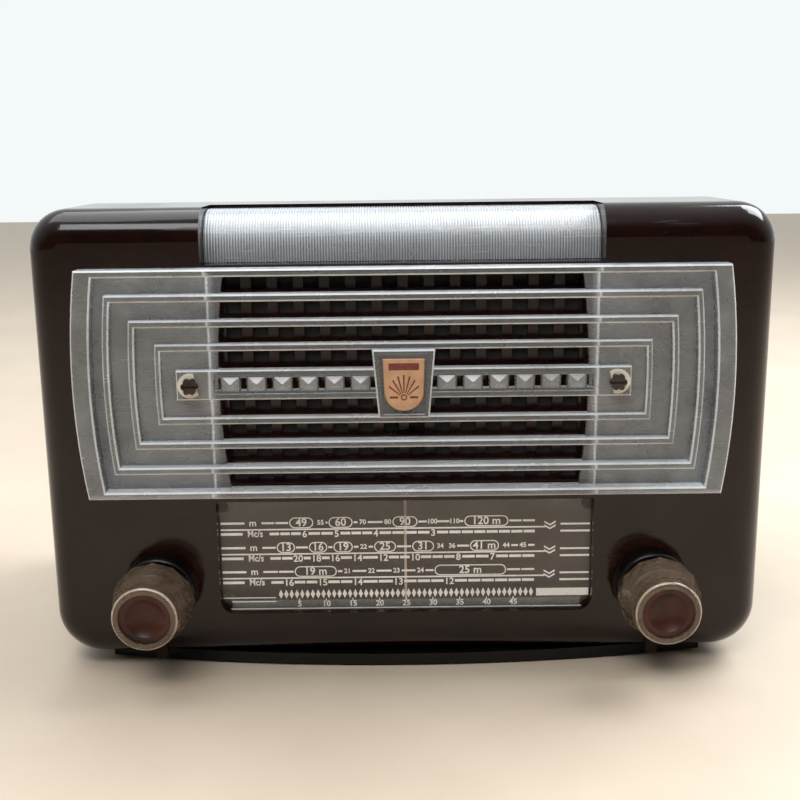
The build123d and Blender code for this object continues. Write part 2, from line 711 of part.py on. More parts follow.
GANG_FRONT = 36.0
GANG_BACK = 80.0
GANG_CELLS = [(41.0, 5), (62.0, 5)]


def gang_frame():
    frame = box(DRUM_X - 21, DRUM_X + 21, GANG_FRONT, GANG_BACK, DECK, DECK + 1.5)
    for depth in (GANG_FRONT, 57.5, GANG_BACK - 1.5):
        wall = box(DRUM_X - 21, DRUM_X + 21, depth, depth + 1.5, DECK, DRUM_Z + 12)
        bore = SHAFT + RUNNING
        frame += wall - rod(DRUM_X, DRUM_Z, bore, depth - 1, depth + 3)
    return frame


def gang_stator():
    """The fixed plates, below the shaft, on insulated side bars."""
    plates = []
    for first, count in GANG_CELLS:
        for i in range(count - 1):
            depth = first + 1.2 + 2.4 * i
            ring = Pos(DRUM_X, DRUM_Z) * (Circle(17.5) - Circle(5.5))
            plate = ring & Pos(DRUM_X, DRUM_Z - 10.5) * Rectangle(40, 19)
            plates.append(slab(plate, depth, depth + 0.7))
        end = first + 1.2 + 2.4 * (count - 2) + 0.7
        for side in (-1, 1):
            x = DRUM_X + side * 18.1
            bar = box(x - 1.2, x + 1.2, first + 1.2, end, DRUM_Z - 7, DRUM_Z - 3)
            plates.append(bar)
    stator = plates[0]
    for plate in plates[1:]:
        stator += plate
    return stator


def gang_rotor():
    """The shaft and half-round plates, shown half meshed with the pointer at mid scale."""
    rotor = rod(DRUM_X, DRUM_Z, SHAFT, CORD_DEPTH - 3, GANG_BACK + 2)
    half = (Circle(15.5) & Pos(8.5, 0) * Rectangle(15, 31)) + Circle(4.6)
    for first, count in GANG_CELLS:
        for i in range(count):
            depth = first + 2.4 * i
            rotor += slab(Pos(DRUM_X, DRUM_Z) * half, depth, depth + 0.7)
        rotor += rod(DRUM_X, DRUM_Z, 4.4, first, first + 2.4 * (count - 1) + 0.7)
    return rotor




# ---------------------------------------------------------------- back

SOCKET_XS = [-52.0, -38.0, 38.0, 52.0]
SOCKET_MIDDLES = [-45.0, 45.0]
SOCKET_Z = 36.0
COVER_BOLT_DEPTH = COVER_DEPTH + COVER


def back_cover():
    scale = (COVER_DEPTH - CROWN_DEPTH) / (CASE_DEPTH - CROWN_DEPTH)
    outline = case_outline(CASE_WALL + 0.6, REAR_DROP * scale + 0.3)
    for row in range(5):
        for column in range(17):
            x = (column - 8) * 12
            outline -= Pos(x, 100 + row * 14) * Rot(0, 0, 90) * SlotOverall(9, 3.4)
    for side in (-45, 45):
        outline -= Pos(side, SOCKET_Z) * RectangleRounded(32, 14, 3)
    outline -= Pos(-96, SOCKET_Z) * Circle(5.0)
    outline -= Pos(0, SOCKET_Z) * Circle(9.0)
    for x, z in COVER_PLACES:
        outline -= Pos(x, z) * Circle(1.8)
    return slab(outline, COVER_DEPTH, COVER_BOLT_DEPTH)


def cover_screw(x, z):
    back = COVER_BOLT_DEPTH
    shank = rod(x, z, 1.3, 127, back + 0.2)
    head = rod(x, z, 3.0, back, back + 1.6)
    slot = box(x - 4, x + 4, back + 1.0, back + 2, z - 0.35, z + 0.35)
    return shank + head - slot


def socket_strip(x):
    strip = Pos(x, SOCKET_Z) * Rectangle(30, 12)
    strip -= [Pos(s, SOCKET_Z) * Circle(3.0) for s in SOCKET_XS]
    plate = slab(strip, CHASSIS_BACK + 2, CHASSIS_BACK + 4)
    for side in (-12.5, 12.5):
        plate += rod(x + side, SOCKET_Z, 1.8, CHASSIS_BACK, CHASSIS_BACK + 2)
    return plate


def socket_sleeve(x):
    return tube(x, SOCKET_Z, 3.0, 2.0, CHASSIS_BACK + 0.4, CHASSIS_BACK + 10)


def cord_grommet():
    """The rubber gland where the mains lead enters through the back cover."""
    outer = tube(-96, SOCKET_Z, 4.9, 3.2, COVER_DEPTH - 1.8, COVER_BOLT_DEPTH + 1.8)
    for depth in (COVER_DEPTH - 1.8, COVER_BOLT_DEPTH + 0.05):
        outer += tube(-96, SOCKET_Z, 7.0, 3.2, depth, depth + 1.75)
    return outer


def voltage_selector():
    plug = rod(0, SOCKET_Z, 8.0, CHASSIS_BACK, CHASSIS_BACK + 4)
    plug += rod(0, SOCKET_Z, 6.5, CHASSIS_BACK + 4, CHASSIS_BACK + 9)
    return plug - box(-5, 5, CHASSIS_BACK + 7.5, CHASSIS_BACK + 10, SOCKET_Z - 0.7, SOCKET_Z + 0.7)


# ---------------------------------------------------------------- the set

save("case_shell", case_shell())
save("plinth", plinth())
save("rubber_feet", *[post(x, depth, 5.4, 0, 2.3) for x, depth in FOOT_PLACES])
save("chassis_bolts", *[chassis_bolt(x, depth) for x, depth in BOLT_PLACES])
save("window_panel", window_panel())
save("grille", grille())
save("badge", badge())
save("grille_screws", grille_screw(-SCREW_X), grille_screw(SCREW_X))
save("screw_washers", screw_washer(-SCREW_X), screw_washer(SCREW_X))
save("dial_glass", dial_glass())
save("dial_backplate", dial_backplate())
save("dial_lamps", dial_lamp(-28), dial_lamp(28))
save("lamp_holders", lamp_holder(-28), lamp_holder(28))

save("volume_knob", knob_body(-CONTROL_X))
save("volume_knob_dish", knob_dish(-CONTROL_X))
save("volume_shaft", control_shaft(-CONTROL_X, 31.5))
save("volume_wiper", wiper(31.5) - rod(-CONTROL_X, CONTROL_Z, SHAFT, 0, 40))
save("tone_lever", lever_ring(-CONTROL_X, 4))
save("tone_sleeve", sleeve(-CONTROL_X, 18.5))
save("tuning_knob", knob_body(CONTROL_X))
save("tuning_knob_dish", knob_dish(CONTROL_X))
save("tuning_shaft", tuning_shaft())
save("band_lever", lever_ring(CONTROL_X, -4))
save("band_sleeve", sleeve(CONTROL_X, 17.4))
save("switch_rotor", switch_rotor())
save("control_collars", collar(-CONTROL_X), collar(CONTROL_X))
save("control_brackets", control_bracket(-CONTROL_X), control_bracket(CONTROL_X))
save("volume_control_can", pot_can())
save("switch_wafer", switch_wafer())

save("drive_cord", drive_cord())
save("drive_drum", drive_drum())
for number, (wheel_x, wheel_z) in enumerate(IDLERS, start=1):
    save(f"cord_pulley_{number}", idler(wheel_x, wheel_z))
standoffs = [dial_standoff(x, z) for x in (-71, 71) for z in (25.5, 66.0)]
save("backplate_posts", *[pulley_stud(x, z) for x, z in IDLERS], *standoffs)
save("pointer_rail", pointer_rail())
save("pointer_carriage", pointer_carriage())
save("pointer_needle", pointer_needle())
save("gang_frame", gang_frame())
save("gang_stator", gang_stator())
save("gang_rotor", gang_rotor())

save("speaker_cloth", speaker_cloth())
save("baffle_board", baffle())
save("speaker_basket", speaker_basket())
save("speaker_cone", speaker_cone(), speaker_surround())
save("speaker_magnet", speaker_magnet())

save("chassis", chassis())
save("valve_glass", *[valve(x, depth, height) for x, depth, height in VALVES])
bases = [valve_base(x, depth) for x, depth, height in VALVES]
save("valve_sockets", *[valve_socket(x, depth) for x, depth, height in VALVES], *bases)
save("if_cans", *[if_can(x, depth) for x, depth in IF_CANS])
save("capacitor_can", capacitor())
save("output_transformer", output_transformer())
save("transformer_winding", transformer_winding())
save("dropper_resistor", dropper_resistor(), dropper_stand())

save("back_cover", back_cover())
save("cover_screws", *[cover_screw(x, z) for x, z in COVER_PLACES])
save("socket_strips", socket_strip(SOCKET_MIDDLES[0]), socket_strip(SOCKET_MIDDLES[1]))
save("socket_sleeves", *[socket_sleeve(x) for x in SOCKET_XS])
save("cord_grommet", cord_grommet())
save("voltage_selector", voltage_selector())
print(len(made), "sub-parts")
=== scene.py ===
import math

import bpy
import bmesh
from mathutils import Matrix, Vector


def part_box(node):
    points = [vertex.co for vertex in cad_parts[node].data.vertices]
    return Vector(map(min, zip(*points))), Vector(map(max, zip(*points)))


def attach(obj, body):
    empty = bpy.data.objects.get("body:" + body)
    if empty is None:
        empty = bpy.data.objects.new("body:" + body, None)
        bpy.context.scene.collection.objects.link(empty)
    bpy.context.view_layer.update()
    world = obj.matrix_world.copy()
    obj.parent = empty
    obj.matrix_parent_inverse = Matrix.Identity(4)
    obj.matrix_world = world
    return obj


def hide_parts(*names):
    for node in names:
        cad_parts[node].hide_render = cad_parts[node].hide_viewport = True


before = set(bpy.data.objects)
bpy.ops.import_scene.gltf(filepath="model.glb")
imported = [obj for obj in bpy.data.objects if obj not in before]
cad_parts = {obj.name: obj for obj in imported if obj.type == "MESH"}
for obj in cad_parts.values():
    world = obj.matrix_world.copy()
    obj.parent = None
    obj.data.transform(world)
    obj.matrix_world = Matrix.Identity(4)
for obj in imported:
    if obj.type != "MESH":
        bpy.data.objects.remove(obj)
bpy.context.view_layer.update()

# The looks of a bakelite table radio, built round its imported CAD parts.
# Everything is in metres in the CAD frame: +X right, front faces -Y, +Z up.

MM = 0.001
ROOT = "root_case"

GLASS_LOW, GLASS_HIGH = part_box("dial_glass")
WINDOW_LOW, WINDOW_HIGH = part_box("window_panel")
BADGE_LOW, BADGE_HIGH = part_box("badge")
FACE_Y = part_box("case_shell")[0][1]


# ---------------------------------------------------------------- materials

class Paint:
    """A node material built up in short steps."""

    def __init__(self, name):
        self.material = bpy.data.materials.new(name)
        self.material.use_nodes = True
        self.tree = self.material.node_tree
        self.shader = self.tree.nodes["Principled BSDF"]
        self.output = self.tree.nodes["Material Output"]
        self.place = self.node("ShaderNodeTexCoord").outputs["Object"]

    def node(self, kind, **settings):
        made = self.tree.nodes.new(kind)
        for key, value in settings.items():
            setattr(made, key, value)
        return made

    def join(self, source, target):
        self.tree.links.new(source, target)

    def fixed(self, **values):
        for key, value in values.items():
            socket = self.shader.inputs[key.replace("_", " ")]
            socket.default_value = (*value, 1.0) if isinstance(value, tuple) else value
        return self

    def stretched(self, scale):
        mapping = self.node("ShaderNodeMapping")
        mapping.inputs["Scale"].default_value = scale
        self.join(self.place, mapping.inputs["Vector"])
        return mapping.outputs["Vector"]

    def noise(self, scale, detail=4.0, rough=0.55, stretch=None, distortion=0.0):
        made = self.node("ShaderNodeTexNoise")
        made.inputs["Scale"].default_value = scale
        made.inputs["Detail"].default_value = detail
        made.inputs["Roughness"].default_value = rough
        made.inputs["Distortion"].default_value = distortion
        self.join(self.stretched(stretch) if stretch else self.place, made.inputs["Vector"])
        return made.outputs["Fac"]

    def ramp(self, source, *stops):
        """Maps a value through colour stops given as (position, colour)."""
        made = self.node("ShaderNodeValToRGB")
        points = made.color_ramp.elements
        while len(points) < len(stops):
            points.new(0.5)
        for point, (position, colour) in zip(points, stops):
            point.position = position
            shade = colour if isinstance(colour, tuple) else (colour, colour, colour)
            point.color = (*shade, 1.0)
        self.join(source, made.inputs["Fac"])
        return made.outputs["Color"]

    def math(self, operation, first, second=0.0):
        made = self.node("ShaderNodeMath", operation=operation)
        for socket, value in zip(made.inputs, (first, second)):
            if isinstance(value, (int, float)):
                socket.default_value = value
            else:
                self.join(value, socket)
        return made.outputs[0]

    def mix(self, factor, first, second):
        made = self.node("ShaderNodeMix", data_type="RGBA")
        sockets = (made.inputs[0], made.inputs[6], made.inputs[7])
        for socket, value in zip(sockets, (factor, first, second)):
            if isinstance(value, tuple):
                socket.default_value = (*value, 1.0)
            elif isinstance(value, (int, float)):
                socket.default_value = value
            else:
                self.join(value, socket)
        return made.outputs[2]

    def facing(self, axis):
        """How far the surface faces along one axis, from -1 to 1, on the object itself."""
        split = self.node("ShaderNodeSeparateXYZ")
        self.join(self.node("ShaderNodeTexCoord").outputs["Normal"], split.inputs[0])
        return split.outputs[axis]

    def along(self, axis):
        split = self.node("ShaderNodeSeparateXYZ")
        self.join(self.place, split.inputs[0])
        return split.outputs[axis]

    def colour(self, source):
        self.join(source, self.shader.inputs["Base Color"])
        return self

    def rough(self, source):
        self.join(source, self.shader.inputs["Roughness"])
        return self

    def bump(self, source, distance, strength=1.0):
        made = self.node("ShaderNodeBump")
        made.inputs["Distance"].default_value = distance
        made.inputs["Strength"].default_value = strength
        self.join(source, made.inputs["Height"])
        socket = self.shader.inputs["Normal"]
        if socket.is_linked:
            self.join(socket.links[0].from_socket, made.inputs["Normal"])
        self.join(made.outputs["Normal"], socket)
        return self

    def lets_lamps_through(self):
        """Clear plastic: lamps reach what is behind it."""
        mix = self.node("ShaderNodeMixShader")
        clear = self.node("ShaderNodeBsdfTransparent")
        path = self.node("ShaderNodeLightPath")
        self.join(path.outputs["Is Shadow Ray"], mix.inputs[0])
        self.join(self.shader.outputs[0], mix.inputs[1])
        self.join(clear.outputs[0], mix.inputs[2])
        self.join(mix.outputs[0], self.output.inputs["Surface"])
        return self


def bakelite(name, dark, light, gloss, shine=0.42):
    """Moulded resin: faint flow mottling, a dulled polish and hairline scratches."""
    paint = Paint(name)
    mottle = paint.noise(55, 6, 0.62, distortion=0.6)
    colour = paint.ramp(mottle, (0.3, dark), (0.72, light))
    specks = paint.ramp(paint.noise(900, 2, 0.5), (0.73, 0.0), (0.78, 1.0))
    paint.colour(paint.mix(paint.math("MULTIPLY", specks, 0.35), colour, (0.10, 0.075, 0.06)))
    smears = paint.ramp(paint.noise(28, 5, 0.6, (1, 1, 2.5)), (0.32, gloss), (0.75, gloss + 0.10))
    hairlines = paint.ramp(paint.noise(420, 3, 0.6, (0.08, 1, 1.2)), (0.60, 0.0), (0.70, 0.16))
    paint.rough(paint.math("ADD", smears, hairlines))
    paint.bump(paint.noise(60, 3, 0.5), 0.00022, 0.35)
    paint.bump(paint.noise(1500, 2, 0.5), 0.00001, 0.5)
    return paint.fixed(IOR=1.5, Specular_IOR_Level=shine).material


def edge_glint_line(paint, at):
    """A bright upright line on both sides, where light catches the edge behind clear plastic."""
    out = paint.math("ABSOLUTE", paint.along("X"))
    wander = paint.math("MULTIPLY", paint.noise(60, 3), 0.0012)
    gap = paint.math("ABSOLUTE", paint.math("SUBTRACT", paint.math("ADD", out, wander), at))
    return paint.ramp(paint.math("MULTIPLY", gap, 300.0), (0.06, 0.8), (0.22, 0.0))


def over_gap(paint, edge):
    """Full strength on the bars that cross the open middle, where little light comes from behind."""
    out = paint.math("ABSOLUTE", paint.along("X"))
    inside = paint.math("MULTIPLY", paint.math("SUBTRACT", edge, out), 200.0)
    return paint.ramp(inside, (0.3, 0.0), (0.7, 0.9))


def hazed_acrylic(name, body, edge, haze, rough, grime, recess_edge_x=0.0, soil=0.45, patch=38, top_highlight=0.8):
    """Aged clear plastic: milky body, painted highlights in the edge colour on bevels and upward faces,
    fine scratches and dirt in patches.
    """
    paint = Paint(name)
    side = paint.math("ABSOLUTE", paint.facing("Y"))
    upward = paint.facing("Z")
    not_edge_on = paint.ramp(side, (0.30, 0.0), (0.5, 1.0))
    not_face_on = paint.ramp(side, (0.8, 1.0), (0.95, 0.0))
    bevel = paint.math("MULTIPLY", not_edge_on, not_face_on)
    clouds = paint.noise(90, 5, 0.6)
    dull = paint.mix(paint.ramp(clouds, (0.35, 0.0), (0.7, 1.0)), body, tuple(c * 0.72 for c in body))
    dirt = paint.ramp(paint.noise(patch, 8, 0.7, distortion=0.8), (0.48, 0.0), (0.74, 1.0))
    # Painted highlight mask: bevels and upward-facing surfaces are painted toward the edge colour.
    lit = paint.math("MAXIMUM", bevel, paint.ramp(upward, (0.55, 0.0), (0.95, top_highlight)))
    if recess_edge_x:
        # Painted highlight: bright upright lines where light catches the recess edge behind the grille.
        lit = paint.math("MAXIMUM", lit, edge_glint_line(paint, recess_edge_x))
        # Painted shade: the body over the open middle is darkened, standing in for the dark seen through
        # the clear bars.
        dull = paint.mix(over_gap(paint, recess_edge_x), dull, tuple(c * 0.35 for c in body))
    body_with_painted_light = paint.mix(lit, dull, edge)
    paint.colour(paint.mix(paint.math("MULTIPLY", dirt, soil), body_with_painted_light, grime))
    scratch = paint.ramp(paint.noise(520, 3, 0.6, (0.06, 1, 1)), (0.58, 0.0), (0.72, 0.3))
    paint.rough(paint.math("ADD", paint.ramp(clouds, (0.3, rough), (0.75, rough + 0.2)), scratch))
    clear = paint.math("MULTIPLY", paint.ramp(lit, (0.0, 1.0), (1.0, 0.35)), 1.0 - haze)
    paint.join(clear, paint.shader.inputs["Transmission Weight"])
    paint.bump(paint.noise(110, 3, 0.45), 0.00008, 0.3)
    return paint.fixed(IOR=1.49, Coat_Weight=0.2, Coat_Roughness=0.08).lets_lamps_through().material


def smoked_pane(name):
    """The dial plate: clear, faintly brown, with rubbed patches."""
    paint = Paint(name)
    rub = paint.noise(70, 6, 0.65)
    paint.colour(paint.ramp(rub, (0.4, (0.93, 0.90, 0.87)), (0.75, (0.80, 0.75, 0.70))))
    paint.rough(paint.ramp(rub, (0.4, 0.02), (0.8, 0.12)))
    paint.bump(paint.noise(300, 3, 0.5), 0.00002, 0.2)
    return paint.fixed(IOR=1.49, Transmission_Weight=1.0).lets_lamps_through().material


def metal(name, bright, dull, rough, brush=(1, 1, 1), metallic=1.0):
    """Metal or metal-like finish with tarnish patches and a brushed or spun grain."""
    paint = Paint(name)
    age = paint.noise(160, 6, 0.6)
    paint.colour(paint.ramp(age, (0.35, bright), (0.72, dull)))
    grain = paint.noise(900, 3, 0.6, brush)
    dulled = paint.ramp(age, (0.3, rough), (0.8, rough + 0.25))
    paint.rough(paint.math("ADD", dulled, paint.math("MULTIPLY", grain, 0.12)))
    paint.bump(grain, 0.00003, 0.6)
    return paint.fixed(Metallic=metallic).material


def painted(name, colour, worn, rough):
    paint = Paint(name)
    wear = paint.ramp(paint.noise(120, 7, 0.7), (0.55, 0.0), (0.75, 1.0))
    paint.colour(paint.mix(wear, colour, worn))
    paint.rough(paint.ramp(wear, (0.0, rough), (1.0, rough + 0.2)))
    paint.bump(paint.noise(700, 3, 0.5), 0.00004, 0.5)
    return paint.material


def fibre(name, pale, dark, grain, depth):
    """Board, paper or cord: short fibres pressed flat."""
    paint = Paint(name)
    fibres = paint.noise(grain, 8, 0.7, (0.5, 1, 1.6))
    stain = paint.noise(26, 4, 0.6)
    base = paint.ramp(fibres, (0.3, dark), (0.7, pale))
    paint.colour(paint.mix(paint.ramp(stain, (0.4, 0.0), (0.8, 0.4)), base, tuple(c * 0.6 for c in dark)))
    paint.rough(paint.ramp(fibres, (0.3, 0.75), (0.7, 0.95)))
    return paint.bump(fibres, depth, 0.7).material


def woven(name, warp, weft, pitch):
    """Plain-weave cloth in the X-Z plane."""
    paint = Paint(name)
    turn = 2 * math.pi / pitch
    across = paint.math("SINE", paint.math("MULTIPLY", paint.along("X"), turn))
    up = paint.math("SINE", paint.math("MULTIPLY", paint.along("Z"), turn))
    over = paint.math("MULTIPLY", across, up)
    height = paint.math("ABSOLUTE", over)
    paint.colour(paint.ramp(paint.math("MULTIPLY_ADD", over, 0.5), (0.2, warp), (0.8, weft)))
    paint.rough(paint.ramp(paint.noise(800, 3), (0.3, 0.8), (0.7, 1.0)))
    return paint.bump(height, 0.0002, 0.8).fixed(Sheen_Weight=0.3).material


def glass(name, tint, rough):
    paint = Paint(name)
    film = paint.noise(60, 4, 0.5)
    paint.colour(paint.ramp(film, (0.4, tint), (0.8, tuple(c * 0.85 for c in tint))))
    paint.rough(paint.ramp(film, (0.4, rough), (0.8, rough + 0.08)))
    return paint.fixed(IOR=1.5, Transmission_Weight=1.0).lets_lamps_through().material


def print_ink(name, colour, worn):
    """Screen printing, thin and chalky where it has rubbed."""
    paint = Paint(name)
    rub = paint.noise(700, 5, 0.7)
    paint.colour(paint.ramp(rub, (0.45, colour), (0.8, worn)))
    paint.rough(paint.ramp(rub, (0.3, 0.5), (0.8, 0.8)))
    return paint.bump(rub, 0.00001, 0.4).material


# How far out the upright edge of the recess behind the grille lies; the grille's painted highlight lines
# and painted shade follow it.
RECESS_EDGE_X = 0.0724

BAKELITE = bakelite("bakelite_brown", (0.0050, 0.0013, 0.0008), (0.0135, 0.0034, 0.0020), 0.07, 0.36)
BLACK = bakelite("bakelite_black", (0.002, 0.0018, 0.002), (0.005, 0.004, 0.004), 0.22, 0.3)
# For these plastics, edge is the colour of the painted highlights on bevels and upward faces.
GRILLE = hazed_acrylic(
    "grille_acrylic", body=(0.52, 0.535, 0.55), edge=(0.78, 0.79, 0.80), haze=0.38, rough=0.14,
    grime=(0.22, 0.20, 0.17), recess_edge_x=RECESS_EDGE_X,
)
WINDOW = hazed_acrylic(
    "window_acrylic", body=(0.36, 0.37, 0.39), edge=(0.58, 0.60, 0.62), haze=0.50, rough=0.14,
    grime=(0.34, 0.33, 0.31),
)
KNOB = hazed_acrylic(
    "knob_acrylic", body=(0.50, 0.36, 0.25), edge=(0.64, 0.51, 0.38), haze=0.16, rough=0.08,
    grime=(0.12, 0.040, 0.016), soil=0.85, patch=95, top_highlight=0.0,
)
DISH = bakelite("dish_maroon", (0.016, 0.0055, 0.004), (0.070, 0.018, 0.011), 0.32, 0.3)
PANE = smoked_pane("dial_pane")
WHITE_INK = print_ink("dial_ink", (0.93, 0.92, 0.88), (0.74, 0.72, 0.66))
FILM = print_ink("dial_film", (0.13, 0.13, 0.125), (0.045, 0.04, 0.036))
LEVER = bakelite("lever_brown", (0.006, 0.002, 0.0015), (0.014, 0.005, 0.003), 0.45, 0.12)
RED_INK = print_ink("badge_ink", (0.16, 0.030, 0.022), (0.26, 0.08, 0.05))
COPPER = metal("badge_copper", (0.70, 0.43, 0.26), (0.52, 0.30, 0.18), 0.36, (1, 1, 0.1), 0.55)
STEEL = metal("plated_steel", (0.56, 0.56, 0.54), (0.36, 0.34, 0.31), 0.30, (0.1, 1, 1))
DARK_STEEL = metal("dark_screw", (0.075, 0.062, 0.055), (0.035, 0.022, 0.016), 0.34, metallic=0.7)
BRASS = metal("brass_turned", (0.72, 0.55, 0.26), (0.40, 0.28, 0.13), 0.26)
ALUMINIUM = metal("aluminium_drawn", (0.75, 0.76, 0.77), (0.52, 0.52, 0.52), 0.28, (1, 1, 0.1))
DIAL_BROWN = painted("dial_brown_paint", (0.020, 0.012, 0.010), (0.045, 0.030, 0.024), 0.38)
BASKET = painted("basket_paint", (0.05, 0.045, 0.04), (0.12, 0.10, 0.08), 0.45)
SALMON = painted("pointer_paint", (0.62, 0.47, 0.34), (0.44, 0.33, 0.24), 0.42)
CREAM = painted("cream_plastic", (0.76, 0.71, 0.60), (0.50, 0.42, 0.32), 0.40)
RUBBER = painted("rubber_black", (0.018, 0.018, 0.018), (0.05, 0.047, 0.044), 0.72)
PAXOLIN = fibre("paxolin_sheet", (0.34, 0.17, 0.07), (0.20, 0.09, 0.035), 260, 0.00003)
BOARD = fibre("back_board", (0.22, 0.135, 0.075), (0.11, 0.065, 0.035), 420, 0.0001)
PAPER = fibre("cone_paper", (0.050, 0.045, 0.040), (0.022, 0.020, 0.018), 700, 0.00008)
CORD = fibre("waxed_cord", (0.50, 0.40, 0.24), (0.30, 0.22, 0.12), 1500, 0.00008)
CLOTH = woven("speaker_cloth", (0.010, 0.008, 0.007), (0.030, 0.024, 0.020), 0.0011)
CLEAR_GLASS = glass("valve_glass", (0.92, 0.94, 0.93), 0.03)
CERAMIC = painted("ceramic_buff", (0.66, 0.60, 0.48), (0.42, 0.34, 0.25), 0.65)
WINDING = fibre("taped_winding", (0.36, 0.17, 0.06), (0.20, 0.09, 0.03), 900, 0.0001)

NODE_FINISHES = [
    (BAKELITE, ["case_shell"]),
    (BLACK, ["plinth", "control_collars", "valve_sockets", "voltage_selector"]),
    (GRILLE, ["grille"]),
    (KNOB, ["volume_knob", "tuning_knob"]),
    (DISH, ["volume_knob_dish", "tuning_knob_dish"]),
    (LEVER, ["tone_lever", "band_lever"]),
    (PANE, ["dial_glass"]),
    (COPPER, ["badge"]),
    (STEEL, [
        "volume_shaft", "tuning_shaft", "control_brackets", "volume_control_can", "pointer_rail",
        "pointer_carriage", "gang_frame", "speaker_magnet", "chassis",
    ]),
    (DARK_STEEL, ["grille_screws", "cover_screws", "chassis_bolts"]),
    (BRASS, [
        "lamp_holders", "volume_wiper", "tone_sleeve", "band_sleeve",
        "cord_pulley_1", "cord_pulley_2", "cord_pulley_3", "socket_sleeves",
    ]),
    (ALUMINIUM, ["drive_drum", "gang_stator", "gang_rotor", "if_cans", "capacitor_can"]),
    (DIAL_BROWN, ["dial_backplate", "backplate_posts", "output_transformer"]),
    (BASKET, ["speaker_basket"]),
    (SALMON, ["pointer_needle"]),
    (CREAM, ["screw_washers"]),
    (RUBBER, ["rubber_feet", "cord_grommet"]),
    (PAXOLIN, ["switch_rotor", "switch_wafer", "socket_strips"]),
    (BOARD, ["baffle_board", "back_cover"]),
    (PAPER, ["speaker_cone"]),
    (CORD, ["drive_cord"]),
    (CLOTH, ["speaker_cloth"]),
    (CLEAR_GLASS, ["dial_lamps", "valve_glass"]),
    (CERAMIC, ["dropper_resistor"]),
    (WINDING, ["transformer_winding"]),
]


def finish_nodes():
    for material, names in NODE_FINISHES:
        for name in names:
            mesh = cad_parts[name].data
            mesh.materials.clear()
            mesh.materials.append(material)


# ---------------------------------------------------------------- pieces

def piece(name, mesh, material, body=ROOT):
    made = bpy.data.objects.new(name, mesh)
    bpy.context.scene.collection.objects.link(made)
    mesh.materials.append(material)
    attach(made, body)
    return made


def mesh_from(name, points, faces):
    mesh = bpy.data.meshes.new(name)
    mesh.from_pydata(points, [], faces)
    work = bmesh.new()
    work.from_mesh(mesh)
    bmesh.ops.recalc_face_normals(work, faces=work.faces)
    work.to_mesh(mesh)
    work.free()
    return mesh


REED_PITCH = 1.05 * MM
REED_DEPTH = 0.24 * MM
REED_STEPS = 6
WINDOW_ROUNDING = 14 * MM
WINDOW_THICK = 2.3 * MM


def window_path():
    """Points and outward normals of the window's side profile, bottom to back."""
    radius = WINDOW_ROUNDING
    low_y = WINDOW_LOW[1]
    top = WINDOW_HIGH[2]
    centre = Vector((0, low_y + radius, top - radius))
    rows = []
    for step in range(5):
        z = WINDOW_LOW[2] + (centre.z - WINDOW_LOW[2]) * step / 5
        rows.append((Vector((0, low_y, z)), Vector((0, -1, 0))))
    for step in range(17):
        angle = math.pi / 2 * step / 16
        normal = Vector((0, -math.cos(angle), math.sin(angle)))
        rows.append((centre + normal * radius, normal))
    for step in range(1, 3):
        y = centre.y + (WINDOW_HIGH[1] - centre.y) * step / 2
        rows.append((Vector((0, y, top)), Vector((0, 0, 1))))
    return rows


def reeded_window():
    """The clear window, with half-round reeds running up and over its curve."""
    rows = window_path()
    width = WINDOW_HIGH[0] - WINDOW_LOW[0]
    reeds = round(width / REED_PITCH)
    columns = []
    for reed in range(reeds):
        for step in range(REED_STEPS):
            share = step / REED_STEPS
            dip = REED_DEPTH * (1 - math.sin(math.pi * share))
            columns.append((WINDOW_LOW[0] + width * (reed + share) / reeds, dip))
    columns.append((WINDOW_HIGH[0], REED_DEPTH))
    points = []
    for spot, normal in rows:
        points += [(x, *(spot - normal * dip)[1:]) for x, dip in columns]
    for spot, normal in rows:
        points += [(x, *(spot - normal * WINDOW_THICK)[1:]) for x, dip in columns]
    wide = len(columns)
    back = wide * len(rows)
    faces = []
    for row in range(len(rows) - 1):
        for col in range(wide - 1):
            a = row * wide + col
            faces.append((a, a + 1, a + wide + 1, a + wide))
            faces.append((back + a, back + a + wide, back + a + wide + 1, back + a + 1))
        for col in (0, wide - 1):
            a = row * wide + col
            faces.append((a, a + wide, back + a + wide, back + a))
    for row in (0, len(rows) - 1):
        for col in range(wide - 1):
            a = row * wide + col
            faces.append((a, back + a, back + a + 1, a + 1))
    window = piece("reeded_window", mesh_from("reeded_window", points, faces), WINDOW)
    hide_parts("window_panel")


# ---------------------------------------------------------------- dial printing

